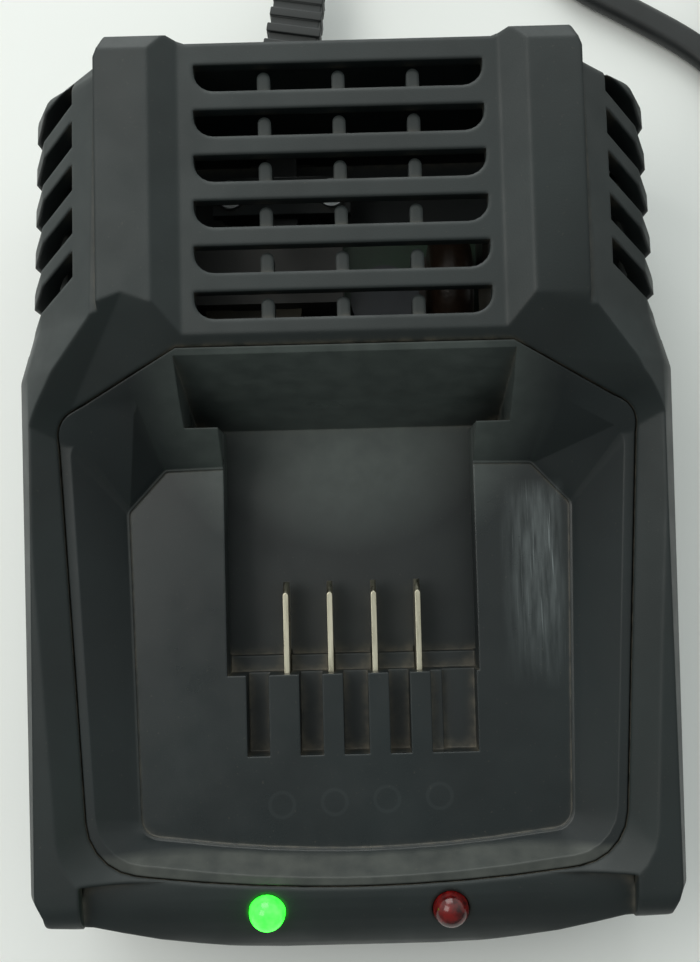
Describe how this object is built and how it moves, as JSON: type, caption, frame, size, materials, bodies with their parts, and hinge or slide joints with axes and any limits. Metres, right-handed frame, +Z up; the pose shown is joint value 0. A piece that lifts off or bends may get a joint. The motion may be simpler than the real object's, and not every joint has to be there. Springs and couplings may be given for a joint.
{
  "type": "power tool battery charger",
  "caption": "Table-top charger for a slide-on battery pack: slotted rear hump, sunken dock with spade contacts, two lamps and a flat mains lead with its plug.",
  "frame": {"origin": "middle of the footprint, on the surface that the feet stand on", "axes": "+Z up, +Y to the rear where the lead leaves, +X to the right when seen from the front"},
  "size_m": [0.1918, 0.1827, 0.047],
  "materials": {
    "board_laminate": "solder mask",
    "bobbin_plastic": "moulded",
    "capacitor_sleeve": "shrunk sleeve",
    "case_plastic": "fine spark-eroded texture",
    "chip_resin": "moulded epoxy",
    "contact_plating": "dull tin plating",
    "copper_wire": "enamelled wire",
    "dock_plastic": "fine spark-eroded texture, polished by use on the pad",
    "ferrite": "sintered",
    "film_case": "potted box",
    "foot_rubber": "matt",
    "fuse_ceramic": "fired tube",
    "green_lamp": "clear coloured resin, lit",
    "lead_jacket": "extruded PVC",
    "pin_plating": "nickel plated",
    "plug_plastic": "moulded PVC",
    "red_lamp": "clear coloured resin, unlit",
    "screw_steel": "zinc plated",
    "sheet_aluminium": "rolled sheet",
    "sleeve_rubber": "moulded soft PVC",
    "tie_strap": "woven nylon",
    "winding_tape": "polyester tape"
  },
  "bodies": {
    "root": {"base_housing": "case_plastic", "board_screws": "screw_steel", "bulk_capacitor": "capacitor_sleeve", "case_screws_front": "screw_steel", "case_screws_rear": "screw_steel", "circuit_board": "board_laminate", "clamp_screws": "screw_steel", "coil_tie": "tie_strap", "control_chip": "chip_resin", "cord_clamp": "case_plastic", "cord_coil": "lead_jacket", "cord_lead": "lead_jacket", "dock_screws": "screw_steel", "docking_plate": "dock_plastic", "film_capacitor": "film_case", "fuse": "fuse_ceramic", "heat_sink": "sheet_aluminium", "inner_cord": "lead_jacket", "lamp_board": "board_laminate", "lamp_green": "green_lamp", "lamp_red": "red_lamp", "mains_choke": "copper_wire", "output_capacitors": "capacitor_sleeve", "output_rectifier": "chip_resin", "plug_body": "plug_plastic", "plug_pin_1": "pin_plating", "plug_pin_2": "pin_plating", "rubber_feet": "foot_rubber", "strain_relief": "sleeve_rubber", "switching_transistor": "chip_resin", "terminal_blade_1": "contact_plating", "terminal_blade_2": "contact_plating", "terminal_blade_3": "contact_plating", "terminal_blade_4": "contact_plating", "terminal_block": "dock_plastic", "transformer_bobbin": "bobbin_plastic", "transformer_core": "ferrite", "transformer_winding": "winding_tape", "upper_housing": "case_plastic"}
  },
  "joints": []
}
